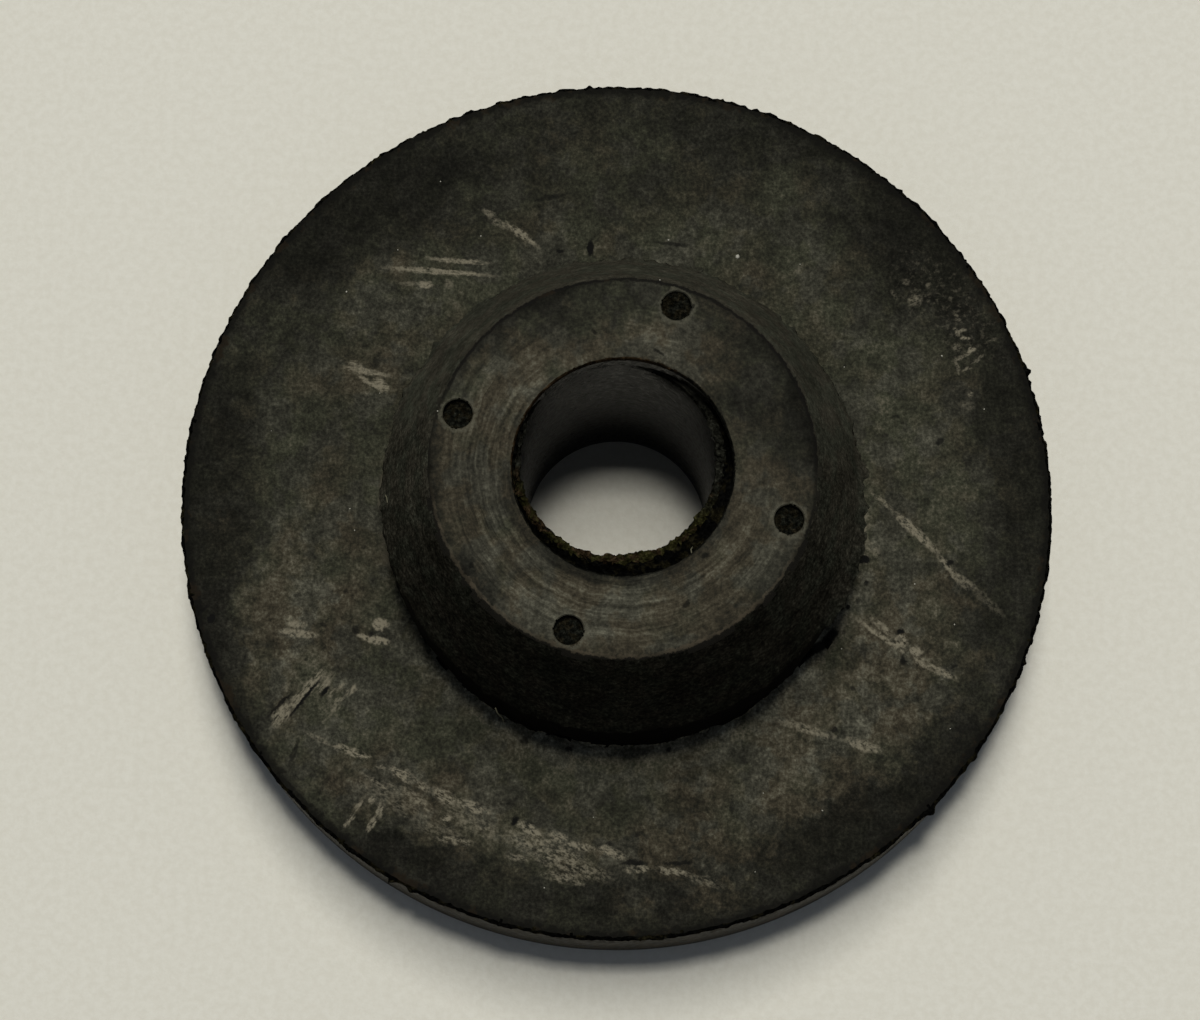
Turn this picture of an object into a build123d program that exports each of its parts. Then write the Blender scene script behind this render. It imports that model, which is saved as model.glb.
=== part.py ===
from build123d import *
import os

# Rubber radiator mount, moulded in one piece: a thick round flange that carries a
# boss with an upright seat and a tapered nose. A bolt hole runs through both.
# Origin: on the bolt hole's axis, at the flange's underside. +Z runs up the boss.

# Flange
flange_radius = 25.4
flange_thickness = 8.0
base_edge_radius = 0.4

# The mould halves met at the flange's upper edge. Tearing off the flash there
# left a narrow broken bevel.
torn_edge_width = 0.2
torn_edge_height = 0.4

# The upper mould half stood slightly off the core pin that made the bolt hole,
# so the boss, the hole's mouth and the gate marks share an axis of their own.
mould_shift_x = 0.3
mould_shift_y = -0.65

# Boss: an upright seat for the bracket's hole, then the tapered nose
seat_radius = 13.6
seat_height = 6.4
nose_height = 6.9
nose_top_radius = 10.75
nose_edge_radius = 0.35

# Bolt hole, and its wider mouth, left by the shoulder of the core pin
bore_radius = 5.4
mouth_radius = 6.05
mouth_depth = 1.15
mouth_edge_radius = 0.25

# Gate marks on the boss's top, where the sprues tore off below its face
gate_count = 4
gate_radius = 0.82
gate_pitch_radius = 9.5
gate_depth = 0.5
first_gate_angle = -16.7

seat_top = flange_thickness + seat_height
top_height = seat_top + nose_height
mouth_floor = top_height - mouth_depth

with BuildPart() as rubber_mount:
    # Flange: flat below, with the broken bevel round its upper edge
    with BuildSketch(Plane.XZ):
        with BuildLine():
            Polyline(
                (0, 0),
                (flange_radius, 0),
                (flange_radius, flange_thickness - torn_edge_height),
                (flange_radius - torn_edge_width, flange_thickness),
                (0, flange_thickness),
                close=True,
            )
        make_face()
    revolve(axis=Axis.Z)
    base_edge = rubber_mount.edges().filter_by(GeomType.CIRCLE).group_by(Axis.Z)[0]
    fillet(base_edge, radius=base_edge_radius)

    # Boss: the upright seat, and the nose that tapers from it
    with BuildSketch(Plane.XY.offset(flange_thickness)):
        with Locations((mould_shift_x, mould_shift_y)):
            Circle(seat_radius)
    extrude(amount=seat_height)
    with BuildSketch(Plane.XY.offset(seat_top)):
        with Locations((mould_shift_x, mould_shift_y)):
            Circle(seat_radius)
    with BuildSketch(Plane.XY.offset(top_height)):
        with Locations((mould_shift_x, mould_shift_y)):
            Circle(nose_top_radius)
    loft()
    nose_edge = rubber_mount.edges().filter_by(GeomType.CIRCLE).group_by(Axis.Z)[-1]
    fillet(nose_edge, radius=nose_edge_radius)

    # Mouth of the bolt hole, with the lip that rolls over into it
    with BuildSketch(Plane.XY.offset(top_height)):
        with Locations((mould_shift_x, mould_shift_y)):
            Circle(mouth_radius)
    extrude(amount=-mouth_depth, mode=Mode.SUBTRACT)
    top_edges = rubber_mount.edges().filter_by(GeomType.CIRCLE).group_by(Axis.Z)[-1]
    fillet(top_edges.sort_by(SortBy.RADIUS)[0], radius=mouth_edge_radius)

    # Bolt hole, up to the crescent step under its mouth
    with BuildSketch(Plane.XY):
        Circle(bore_radius)
    extrude(amount=mouth_floor, mode=Mode.SUBTRACT)

    # Gate marks, evenly spaced round the boss's own axis
    with BuildSketch(Plane.XY.offset(top_height)):
        with Locations((mould_shift_x, mould_shift_y)):
            with PolarLocations(gate_pitch_radius, gate_count, start_angle=first_gate_angle):
                Circle(gate_radius)
    extrude(amount=-gate_depth, mode=Mode.SUBTRACT)

rubber_mount.part.label = "rubber_mount"

os.makedirs("parts", exist_ok=True)
export_step(rubber_mount.part, "parts/rubber_mount.step")
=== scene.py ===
import math
import random

import bpy
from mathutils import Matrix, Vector


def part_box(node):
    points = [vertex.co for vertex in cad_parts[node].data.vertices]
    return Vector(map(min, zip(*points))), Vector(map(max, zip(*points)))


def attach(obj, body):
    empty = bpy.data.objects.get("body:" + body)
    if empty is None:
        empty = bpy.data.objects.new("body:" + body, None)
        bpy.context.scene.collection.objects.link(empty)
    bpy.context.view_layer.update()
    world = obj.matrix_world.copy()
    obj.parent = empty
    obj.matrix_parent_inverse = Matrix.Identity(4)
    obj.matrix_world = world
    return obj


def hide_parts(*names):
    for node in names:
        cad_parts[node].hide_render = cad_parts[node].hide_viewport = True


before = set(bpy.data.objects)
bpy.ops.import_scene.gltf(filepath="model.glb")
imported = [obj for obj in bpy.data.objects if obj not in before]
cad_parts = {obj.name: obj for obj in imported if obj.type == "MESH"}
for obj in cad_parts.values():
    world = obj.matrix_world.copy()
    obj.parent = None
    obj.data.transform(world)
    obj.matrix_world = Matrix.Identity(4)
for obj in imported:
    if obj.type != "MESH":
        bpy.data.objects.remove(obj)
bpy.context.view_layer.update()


# ----------------------------------------------------------------
# The moulded body: flange, boss and bolt hole in one skin of black rubber.
# It was pressed in a two-part mould round a core pin. The flash at the flange's upper edge, the
# thin web across the hole's mouth and four sprues on the crown were torn off by hand.
# ----------------------------------------------------------------
MM = 0.001
low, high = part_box("rubber_mount")
top_height = high.z
flange_radius = high.x
flange_height = 8.0 * MM
torn_edge_height = 0.4 * MM
torn_edge_width = 0.2 * MM
base_rounding = 0.4 * MM
seat_radius = 13.6 * MM
seat_top = flange_height + 6.4 * MM
nose_radius = 10.75 * MM
nose_rounding = 0.35 * MM
mouth_radius = 6.05 * MM
mouth_rounding = 0.16 * MM
mouth_floor = top_height - 1.15 * MM
crease_height = mouth_floor - 0.35 * MM
ledge_foot = mouth_floor - 0.8 * MM
bore_radius = 5.4 * MM
stub_radius = bore_radius + 0.2 * MM
boss_shift = Vector((0.3, -0.65, 0.0)) * MM
ring_points = 900
# Each ring of the skin so far: radius, height, and lean, 0 on the hole's axis and 1 on the boss's own
rings = [(bore_radius, 0.0, 0.0)]


def ring_centre(height, lean):
    """The centre of a ring of this height and lean."""
    return boss_shift * lean + Vector((0.0, 0.0, height))


def pull_ring(radius, height, lean, steps=1):
    """Extrudes the selected edge ring to a new radius, height and lean, in equal steps."""
    start = rings[-1]
    for step in range(1, steps + 1):
        last = rings[-1]
        ring = [old + (new - old) * step / steps for old, new in zip(start, (radius, height, lean))]
        growth = ring[0] / last[0]
        centre = ring_centre(*ring[1:])
        move = centre - ring_centre(*last[1:])
        bpy.ops.mesh.extrude_region_move(TRANSFORM_OT_translate={"value": move})
        bpy.ops.transform.resize(value=(growth, growth, 1.0), center_override=centre)
        rings.append(ring)


def round_ring(centre_radius, centre_height, rounding, start, stop, lean, steps=4):
    """Carries the ring round a quarter turn or so, from angle start to stop, in degrees."""
    for step in range(1, steps + 1):
        angle = math.radians(start + (stop - start) * step / steps)
        out = rounding * math.cos(angle)
        up = rounding * math.sin(angle)
        pull_ring(centre_radius + out, centre_height + up, lean)


def face_outwards():
    """Turns all the faces of the active piece outwards."""
    bpy.ops.object.mode_set(mode="EDIT")
    bpy.ops.mesh.select_all(action="SELECT")
    bpy.ops.mesh.normals_make_consistent(inside=False)
    bpy.ops.object.mode_set(mode="OBJECT")


def join_up(pieces):
    """Joins pieces into the first of them."""
    bpy.ops.object.select_all(action="DESELECT")
    for piece in pieces:
        piece.select_set(True)
    bpy.context.view_layer.objects.active = pieces[0]
    bpy.ops.object.join()
    return pieces[0]


bpy.ops.object.select_all(action="DESELECT")
bpy.ops.mesh.primitive_circle_add(vertices=ring_points, radius=bore_radius)
body = bpy.context.object
body.name = "moulded_rubber"
bpy.ops.object.mode_set(mode="EDIT")
bpy.ops.mesh.select_all(action="SELECT")
# Underside, out to the rounded lower edge, and up the flange's wall
pull_ring(flange_radius - base_rounding, 0.0, 0.0, steps=2)
round_ring(flange_radius - base_rounding, base_rounding, base_rounding, -90, 0, 0.0, steps=3)
pull_ring(flange_radius, flange_height - torn_edge_height, 0.0, steps=4)
# Torn upper edge, where the flash was: a nick, a broken ridge, and a bevel to the top face
pull_ring(flange_radius - 0.1 * MM, flange_height - 0.3 * MM, 0.0)
pull_ring(flange_radius - 0.03 * MM, flange_height - 0.18 * MM, 0.0)
pull_ring(flange_radius - torn_edge_width, flange_height, 0.0, steps=3)
# Flange's top face, in to the foot of the boss
pull_ring(flange_radius - torn_edge_width - 0.3 * MM, flange_height, 0.0, steps=2)
pull_ring(seat_radius + 0.9 * MM, flange_height, 1.0, steps=18)
pull_ring(seat_radius, flange_height, 1.0, steps=5)
# Upright seat, tapered nose and its rounded edge
pull_ring(seat_radius, flange_height + 0.7 * MM, 1.0, steps=3)
pull_ring(seat_radius, seat_top - 0.6 * MM, 1.0, steps=4)
pull_ring(seat_radius, seat_top, 1.0, steps=3)
nose_slope = math.degrees(math.atan2(seat_radius - nose_radius, top_height - seat_top))
nose_end = top_height - nose_rounding
pull_ring(nose_radius + 0.12 * MM, nose_end - 0.1 * MM, 1.0, steps=9)
round_ring(nose_radius - nose_rounding, nose_end, nose_rounding, nose_slope, 90, 1.0)
# Crown, in to the mouth's rolled lip, and down its wall
pull_ring(mouth_radius + mouth_rounding, top_height, 1.0, steps=9)
round_ring(mouth_radius + mouth_rounding, top_height - mouth_rounding, mouth_rounding, 90, 180, 1.0)
pull_ring(mouth_radius, crease_height, 1.0, steps=4)
# Torn ledge: a dark crease below the wall, then the broken stub of the web
first_ledge_ring = len(rings)
pull_ring(mouth_radius - 0.12 * MM, crease_height - 0.1 * MM, 0.85, steps=2)
pull_ring(stub_radius, mouth_floor + 0.1 * MM, 0.2, steps=4)
pull_ring(bore_radius, mouth_floor - 0.1 * MM, 0.0, steps=2)
# Bolt hole, down to where the ring began
pull_ring(bore_radius, ledge_foot, 0.0, steps=3)
after_ledge = len(rings)
pull_ring(bore_radius, 0.0, 0.0, steps=7)
bpy.ops.mesh.select_all(action="SELECT")
bpy.ops.mesh.remove_doubles(threshold=0.001 * MM)
bpy.ops.object.mode_set(mode="OBJECT")
face_outwards()


def boss_distance(point):
    """How far a point stands from the boss's own axis."""
    return (point.xy - boss_shift.xy).length


def bearing(point):
    """The point's direction from the boss's own axis, in degrees from +X."""
    return math.degrees(math.atan2(point.y - boss_shift.y, point.x - boss_shift.x))


def near(value, target, reach):
    """1 at the target, falling to 0 at reach from it."""
    return max(0.0, 1.0 - abs(value - target) / reach)


def far_side(point):
    """1 at the far side of the hole, 0 at its middle and near side."""
    return min(1.0, max(0.0, (point.y - 1.6 * MM) / (3.0 * MM)))


# On the far side the web tore off flush, and the mouth's wall runs straight down into the hole
for point in body.data.vertices:
    ring = point.index // ring_points
    if first_ledge_ring <= ring < after_ledge and far_side(point.co) > 0.0:
        share = (ring - first_ledge_ring + 1) / (after_ledge - first_ledge_ring)
        outward = point.co.xy.normalized()
        wall = mouth_radius + boss_shift.xy.dot(outward)
        flush = outward * (wall + (bore_radius - wall) * share)
        flush = Vector((flush.x, flush.y, crease_height + (ledge_foot - crease_height) * share))
        point.co = point.co.lerp(flush, far_side(point.co))


def soft_group(name, weigh):
    """A vertex group whose weights come from a rule on each point's place."""
    group = body.vertex_groups.new(name=name)
    for point in body.data.vertices:
        weight = weigh(point.co)
        if weight > 0.01:
            group.add([point.index], min(weight, 1.0), "REPLACE")


def displace(group, distance, grain=None):
    """Moves a group's points along their normals, or scatters them with a noise of this grain."""
    move = body.modifiers.new(group, "DISPLACE")
    move.vertex_group = group
    move.strength = distance * MM
    move.mid_level = 0.0
    if grain:
        texture = bpy.data.textures.new(f"{group}_{grain}", "CLOUDS")
        texture.noise_scale = grain * MM
        texture.noise_depth = 1
        texture.cloud_type = "COLOR"
        move.texture = texture
        move.texture_coords = "LOCAL"
        move.direction = "RGB_TO_XYZ"
        move.mid_level = 0.5
    bpy.ops.object.modifier_apply(modifier=move.name)


def knobs(point, places):
    """Weight of the nearest of several small lumps, each x, y, z and reach in millimetres."""
    return max(near((point - Vector((x, y, z)) * MM).length, 0.0, reach * MM)
               for x, y, z, reach in places)


soft_group("torn_flange_edge", lambda p: near(p.z, flange_height - 0.2 * MM, 0.5 * MM)
           * near(p.xy.length, flange_radius - 0.1 * MM, 0.5 * MM) * 1.5)
soft_group("boss_foot", lambda p: near(p.z, flange_height, 0.9 * MM)
           * near(boss_distance(p), seat_radius, 0.9 * MM) * 1.3)
soft_group("seat_edge", lambda p: near(p.z, seat_top, 0.9 * MM)
           * near(boss_distance(p), seat_radius, 0.6 * MM))
soft_group("nose_edge", lambda p: near(p.z, top_height, 1.0 * MM)
           * near(boss_distance(p), nose_radius - 0.1 * MM, 0.6 * MM))
soft_group("mouth_lip", lambda p: near(p.z, top_height, 0.6 * MM)
           * near(boss_distance(p), mouth_radius, 0.5 * MM))
soft_group("torn_ledge", lambda p: near(p.z, mouth_floor, 0.6 * MM)
           * near(p.xy.length, stub_radius, 0.7 * MM) * (1.3 - far_side(p) * 0.95))

# A lip of flash along the right of the seat's edge, torn off short at its near end
soft_group("torn_flap", lambda p: near(p.z, seat_top, 1.0 * MM)
           * near(boss_distance(p), seat_radius, 0.6 * MM)
           * min(1.0, max(0.0, bearing(p) + 33.5) / 1.2, max(0.0, 2.0 - bearing(p)) / 16.0) * 1.4)

# Tags of flash left on the flange's edge, and burrs on the boss's seat
flash_tags = [
    (21.1, -14.6, 7.8, 0.4), (18.4, -17.5, 7.8, 0.45), (23.9, -8.9, 7.8, 0.25), (-11.2, -22.9, 7.6, 0.3),
    (-12.4, -22.3, 7.6, 0.3), (23.9, 8.4, 7.8, 0.25), (16.5, 19.4, 7.9, 0.25), (-2.2, 25.3, 7.9, 0.3),
]
seat_burrs = [
    (-11.9, 6.5, 14.3, 0.5), (-10.8, 7.6, 14.3, 0.55), (-13.4, 2.2, 14.3, 0.45), (-12.5, 4.8, 14.3, 0.35),
    (11.9, -8.4, 14.2, 0.5), (13.9, 0.9, 14.3, 0.5), (13.2, 3.6, 14.3, 0.4), (-6.9, -12.2, 14.3, 0.35),
    (13.9, -1.2, 14.3, 0.5), (-13.3, -3.5, 14.3, 0.4),
]
soft_group("flash_tags", lambda p: knobs(p, flash_tags) if p.xy.length > 24.5 * MM else 0.0)
soft_group("seat_burrs", lambda p: knobs(p, seat_burrs) if abs(p.z - seat_top) < 1.0 * MM else 0.0)
# Gaps torn at the foot of the boss
foot_gaps = [(12.2, -7.9, 8.0, 1.3), (11.2, -8.7, 8.0, 1.0), (11.3, 8.7, 8.0, 0.9), (-12.2, 6.0, 8.0, 0.8)]
soft_group("foot_gaps", lambda p: knobs(p, foot_gaps))

displace("flash_tags", 0.4)
displace("torn_flap", 0.38)
displace("seat_burrs", 0.35)
displace("foot_gaps", -0.55)
for group, grain, depth in [
    ("torn_flange_edge", 0.9, 0.22),
    ("torn_flange_edge", 0.3, 0.26),
    ("boss_foot", 2.4, 0.9),
    ("boss_foot", 0.55, 0.34),
    ("seat_edge", 1.8, 0.42),
    ("seat_edge", 0.4, 0.42),
    ("nose_edge", 1.6, 0.2),
    ("nose_edge", 0.35, 0.09),
    ("mouth_lip", 1.2, 0.12),
    ("mouth_lip", 0.3, 0.07),
    ("torn_ledge", 0.9, 0.6),
    ("torn_ledge", 0.3, 0.42),
]:
    displace(group, depth, grain)

# Nothing stands outside the mould's own sizes
for point in body.data.vertices:
    for side in range(3):
        point.co[side] = max(low[side], min(high[side], point.co[side]))

# Gate marks: four round pits where the sprues broke off below the crown, with torn floors
gate_radius = 0.82 * MM
gate_pitch_radius = 9.5 * MM
gate_depth = 0.5 * MM
gate_lead_in = 0.2 * MM
first_gate_angle = -16.7
gates = [
    boss_shift.xy + Vector((math.cos(angle), math.sin(angle))) * gate_pitch_radius
    for angle in (math.radians(first_gate_angle + 90 * turn) for turn in range(4))
]
cutters = []
for number, gate in enumerate(gates):
    bpy.ops.object.select_all(action="DESELECT")
    bpy.ops.mesh.primitive_circle_add(
        vertices=44, radius=gate_radius * 1.2, fill_type="NGON",
        location=(gate.x, gate.y, top_height + gate_lead_in),
    )
    cutter = bpy.context.object
    bpy.ops.object.transform_apply(location=True, rotation=True, scale=True)
    bpy.ops.object.mode_set(mode="EDIT")
    bpy.ops.mesh.select_all(action="SELECT")
    reach = 1.2
    height = gate_lead_in
    for new_reach, new_height in [
        (1.1, 0.02 * MM), (1.0, -0.07 * MM), (0.98, -gate_depth / 2), (0.97, -gate_depth),
    ]:
        bpy.ops.mesh.extrude_region_move(TRANSFORM_OT_translate={"value": (0, 0, new_height - height)})
        bpy.ops.transform.resize(
            value=(new_reach / reach, new_reach / reach, 1.0),
            center_override=(gate.x, gate.y, top_height + new_height),
        )
        reach = new_reach
        height = new_height
    for ring in range(7):
        bpy.ops.mesh.inset(thickness=gate_radius * 0.125, depth=0.0)
    bpy.ops.object.mode_set(mode="OBJECT")
    floor_group = cutter.vertex_groups.new(name="floor")
    for point in cutter.data.vertices:
        depth = (top_height - point.co.z) / gate_depth
        if depth > 0.3:
            floor_group.add([point.index], min(1.0, depth), "REPLACE")
    for grain, rise in ((0.45, 0.34), (0.16, 0.16)):
        texture = bpy.data.textures.new(f"gate_floor_{number}_{grain}", "CLOUDS")
        texture.noise_scale = grain * MM
        texture.noise_depth = 1
        rough = cutter.modifiers.new("rough", "DISPLACE")
        rough.texture = texture
        rough.texture_coords = "LOCAL"
        rough.direction = "Z"
        rough.vertex_group = "floor"
        rough.strength = rise * MM
        bpy.ops.object.modifier_apply(modifier=rough.name)
    if number == 1:
        # The far sprue tore off on a slope, so its pit is shallow on the far side
        for point in cutter.data.vertices:
            if point.co.z < top_height - 0.3 * MM:
                point.co.z += 0.36 * MM * max(0.0, (point.co.y - gate.y) / gate_radius)
    cutters.append(cutter)
cutter = join_up(cutters)
face_outwards()
bpy.ops.object.select_all(action="DESELECT")
body.select_set(True)
bpy.context.view_layer.objects.active = body
cut = body.modifiers.new("gate_marks", "BOOLEAN")
cut.operation = "DIFFERENCE"
cut.solver = "EXACT"
cut.object = cutter
bpy.ops.object.modifier_apply(modifier=cut.name)
bpy.data.objects.remove(cutter)
bpy.ops.object.shade_smooth_by_angle(angle=math.radians(38))
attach(body, "root")
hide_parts("rubber_mount")


class Signal:
    """What a node in a finish gives out. Ordinary sums on a number add Math nodes."""

    def __init__(self, finish, socket):
        self.finish = finish
        self.socket = socket

    def sum(self, operation, *values):
        return self.finish.add("Math", {"operation": operation}, dict(enumerate(values)))

    def __add__(self, other):
        return self.sum("ADD", self, other)

    def __radd__(self, other):
        return self.sum("ADD", other, self)

    def __sub__(self, other):
        return self.sum("SUBTRACT", self, other)

    def __rsub__(self, other):
        return self.sum("SUBTRACT", other, self)

    def __mul__(self, other):
        return self.sum("MULTIPLY", self, other)

    def __rmul__(self, other):
        return self.sum("MULTIPLY", other, self)

    def most(self, other):
        return self.sum("MAXIMUM", self, other)

    def exp(self):
        return self.sum("EXPONENT", self)


class Finish:
    """A node material, worked in millimetres. add makes any node, and the rest are its uses."""

    def __init__(self, name, dimensions="3D"):
        self.material = bpy.data.materials.new(name)
        self.material.use_nodes = True
        self.tree = self.material.node_tree
        self.tree.nodes.clear()
        self.dimensions = dimensions
        here = self.add("TexCoord", {}, {}, "Object")
        self.place = self.add("VectorMath", {"operation": "SCALE"}, {0: here, "Scale": 1000.0})

    def add(self, kind, settings, inputs, output=0):
        node = self.tree.nodes.new("ShaderNode" + kind)
        for name, value in settings.items():
            setattr(node, name, value)
        for name, value in inputs.items():
            if isinstance(value, Signal):
                self.tree.links.new(value.socket, node.inputs[name])
            else:
                node.inputs[name].default_value = value
        return Signal(self, node.outputs[output]) if node.outputs else None

    def vector(self, operation, first, second, output=0):
        return self.add("VectorMath", {"operation": operation}, {0: first, 1: second}, output)

    def scaled(self, vector, factor):
        """A vector or colour times a number."""
        return self.add("VectorMath", {"operation": "SCALE"}, {0: vector, "Scale": factor})

    def grain(self, size, detail=3.0, rough=0.6, place=None, seed=0.0, output=0, dimensions=None):
        """Cloudy noise, 0 to 1, whose lumps are about size millimetres across."""
        shifted = self.vector("ADD", place or self.place, (seed * 17.3, seed * 9.1, seed * 5.7))
        return self.add(
            "TexNoise", {"noise_dimensions": dimensions or self.dimensions},
            {"Vector": shifted, "Scale": 1.0 / size, "Detail": detail, "Roughness": rough}, output,
        )

    def strayed(self, distance, size, seed):
        """The place, moved about by up to distance millimetres, so that edges aren't clean."""
        cloud = self.grain(size, 5.0, 0.7, seed=seed, output=1)
        shift = self.scaled(self.vector("SUBTRACT", cloud, (0.5, 0.5, 0.5)), distance)
        return self.vector("ADD", self.place, shift)

    def band(self, value, start, stop, low=0.0, high=1.0):
        """value from start to stop becomes low to high, smoothly, and held at the ends."""
        return self.add(
            "MapRange", {"interpolation_type": "SMOOTHSTEP"},
            {0: value, 1: start, 2: stop, 3: low, 4: high},
        )

    def blend(self, factor, first, second):
        """Colour first, turning to second as factor goes from 0 to 1."""
        colours = [c if isinstance(c, Signal) else (*c, 1.0) for c in (first, second)]
        return self.add(
            "Mix", {"data_type": "RGBA", "clamp_factor": True},
            {0: factor, 6: colours[0], 7: colours[1]}, 2,
        )

    def along(self, direction):
        """How far the place lies this way, in millimetres."""
        return self.vector("DOT_PRODUCT", self.place, direction, "Value")

    def level_from(self, x, y, place=None):
        """The level part of the way from a point to the place."""
        whole = self.vector("SUBTRACT", place or self.place, (x, y, 0.0))
        return self.vector("MULTIPLY", whole, (1.0, 1.0, 0.0))

    def away(self, x, y, place=None):
        """Level distance from a point, in millimetres."""
        level = self.level_from(x, y, place)
        return self.add("VectorMath", {"operation": "LENGTH"}, {0: level}, "Value")

    def turned_grain(self, x, y, changes, across, seed):
        """Noise in lines that run round a point. across tells one line from the next."""
        ahead = self.add("VectorMath", {"operation": "NORMALIZE"}, {0: self.level_from(x, y)})
        place = self.vector("ADD", self.scaled(ahead, changes), self.add("CombineXYZ", {}, {2: across}))
        return self.grain(1.0, 2.0, 0.6, place, seed, dimensions="3D")

    def speckled(self, colour, cloud, strength):
        """The colour, paler where the cloud is above 0.5 and darker where it is below."""
        return self.scaled(colour, ((cloud - 0.5) * strength).exp())

    def patch(self, place, x, y, turn, length, width, softness=0.6):
        """1 inside a soft oval patch, 0 outside."""
        from_middle = self.vector("SUBTRACT", place, (x, y, 0.0))
        ahead = Vector((math.cos(math.radians(turn)), math.sin(math.radians(turn)), 0.0))
        aside = Vector((-ahead.y, ahead.x, 0.0))
        along = self.vector("DOT_PRODUCT", from_middle, ahead * 2 / length, "Value")
        across = self.vector("DOT_PRODUCT", from_middle, aside * 2 / width, "Value")
        oval = along * along + across * across
        return self.band(oval, (1.0 + softness / 2) ** 2, (1.0 - softness) ** 2)

    def zones(self, place, patches):
        """Sums soft patches, each x, y, turn, length, width and how much it adds."""
        total = 0.0
        for x, y, turn, length, width, amount in patches:
            total = self.patch(place, x, y, turn, length, width) * amount + total
        return total

    def marks(self, place, softness, strokes):
        """The strongest of some marks, each x, y, turn, length, width and strength."""
        strongest = 0.0
        for *stroke, strength in strokes:
            strongest = (self.patch(place, *stroke, softness) * strength).most(strongest)
        return strongest

    def flecks(self, turn, along, across, seed, few):
        """Broken streaks that run at this angle, 0 to 1."""
        turned = (0.0, 0.0, math.radians(turn))
        streak = self.add(
            "Mapping", {"vector_type": "TEXTURE"},
            {"Vector": self.place, "Rotation": turned, "Scale": (along, across, 1.0)},
        )
        return self.band(self.grain(1.0, 2.5, 0.7, streak, seed), few - 0.06, few + 0.24)

    def pinholes(self, spacing, size, share, seed):
        """Small round spots, 1 inside. Only a share of the cells has one."""
        shifted = self.vector("ADD", self.place, (seed, seed * 1.7, 0.0))
        settings = {"voronoi_dimensions": "2D"}
        wobble = (self.grain(0.35, 2.0, 0.6, seed=seed) - 0.5) * 1.6
        distance = self.add("TexVoronoi", settings, {"Vector": shifted, "Scale": 1.0 / spacing}, 0)
        chance = self.add("TexVoronoi", settings, {"Vector": shifted, "Scale": 1.0 / spacing}, 1)
        reach = size / spacing
        chosen = self.band(chance, 1.0 - share, 1.0)
        return self.band(distance + wobble * reach, reach * 1.3, reach * 0.5) * chosen

    def close(self, colour, relief, relief_depth, roughness, gloss, sheen=(1.0, 1.0, 1.0)):
        """Joins colour, relief and roughness to the surface. sheen tints what it reflects."""
        bump = self.add("Bump", {}, {"Height": relief, "Distance": relief_depth * MM})
        shader = self.add(
            "BsdfPrincipled", {},
            {"Base Color": colour, "Roughness": roughness, "Normal": bump,
             "Specular IOR Level": gloss, "Specular Tint": (*sheen, 1.0)},
        )
        self.add("OutputMaterial", {}, {"Surface": shader})
        return self.material


def bloomed(finish, tone, warm, detail):
    """Old rubber: olive with bloom, tan where it is worn, grey in patches and where it is dark."""
    level = (tone * detail).most(0.002)
    hue = finish.blend(warm, (0.99, 1.0, 0.622), (1.125, 0.96, 0.605))
    hue = finish.blend(finish.band(level, 0.038, 0.075), hue, (1.085, 0.99, 0.665))
    grey = finish.band(finish.grain(2.6, seed=8.0), 0.47, 0.6, 0.0, 0.8)
    grey = grey + finish.band(level, 0.026, 0.01, 0.0, 0.6)
    hue = finish.blend(grey, hue, (1.035, 1.0, 0.71))
    return finish.scaled(hue, level)


# Flange's top face: flat and dull, worn and scuffed by the bracket that sat on it
face = Finish("scuffed_flange_face", "2D")
strayed = face.strayed(3.4, 2.6, 1.0)
# Broad patches of tone. The paler one at (-0.2, -15.4), below the boss's near foot, is painted light that
# lifts the boss's shadow there
tone = face.zones(strayed, [
    (-11.9, 12.5, 20, 9, 5, 0.005), (3.5, 15.8, 0, 8, 4, 0.005), (-19.3, -6.5, 70, 10, 5, 0.016),
    (-17.2, -12.0, -60, 7, 6, 0.016), (-10.5, -17.6, -20, 10, 4, 0.009), (-3.0, -20.6, -20, 9, 4, 0.005),
    (12.0, -14.0, 35, 14, 7, 0.014), (17.8, -9.0, -30, 9, 6, 0.009), (16.8, 5.0, -80, 11, 6, 0.006),
    (20.0, -11.8, -60, 6, 4, -0.006), (-15.5, 17.0, 40, 14, 7, -0.009), (7.5, 22.0, -12, 12, 5, -0.004),
    (15.2, 17.5, -45, 13, 6, -0.009), (16.0, -19.0, 45, 13, 6, -0.01), (-10.5, -22.2, -25, 12, 4, -0.006),
    (-0.2, -15.4, 0, 13, 3, 0.012), (5.5, -21.0, -5, 8, 4, 0.001), (-23.4, -0.5, 90, 18, 5, -0.007),
    (23.0, 3.5, 90, 18, 5, -0.006), (-21.0, -10.5, -70, 6, 4, -0.006), (-2.0, 20.8, 0, 8, 3, 0.001),
    (-16.6, -16.6, -45, 8, 4, 0.009), (12.0, -17.9, 40, 9, 4.4, -0.009), (17.4, -4.4, 75, 5, 5, 0.007),
    (20.0, 0.0, 90, 5, 5, 0.006), (11.2, 11.2, -45, 5, 3, 0.005), (11.5, 19.8, -30, 7, 3.5, 0.008),
    (1.5, 18.3, 0, 12, 5, -0.009), (-8.5, 18.0, 25, 10, 6, -0.008), (-16.9, 4.5, 75, 4, 3, -0.005),
    (18.0, 12.6, -35, 8, 5, -0.007), (0.5, -23.2, 0, 9, 3, -0.007), (-19.9, -11.6, 0, 3, 2, 0.006),
    (-12.0, -20.8, -25, 4, 2, -0.007), (4.8, -17.2, 0, 4, 2.5, -0.006), (-15.0, -9.0, 0, 4, 3, -0.006),
    (1.8, -23.3, 0, 3, 1.6, 0.01), (21.6, -6.5, 30, 3, 2, -0.005),
])
out = face.away(0.0, 0.0, strayed)
tone = tone + 0.029 - face.band(out, 19.0, 23.5, 0.0, 0.012)
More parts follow.
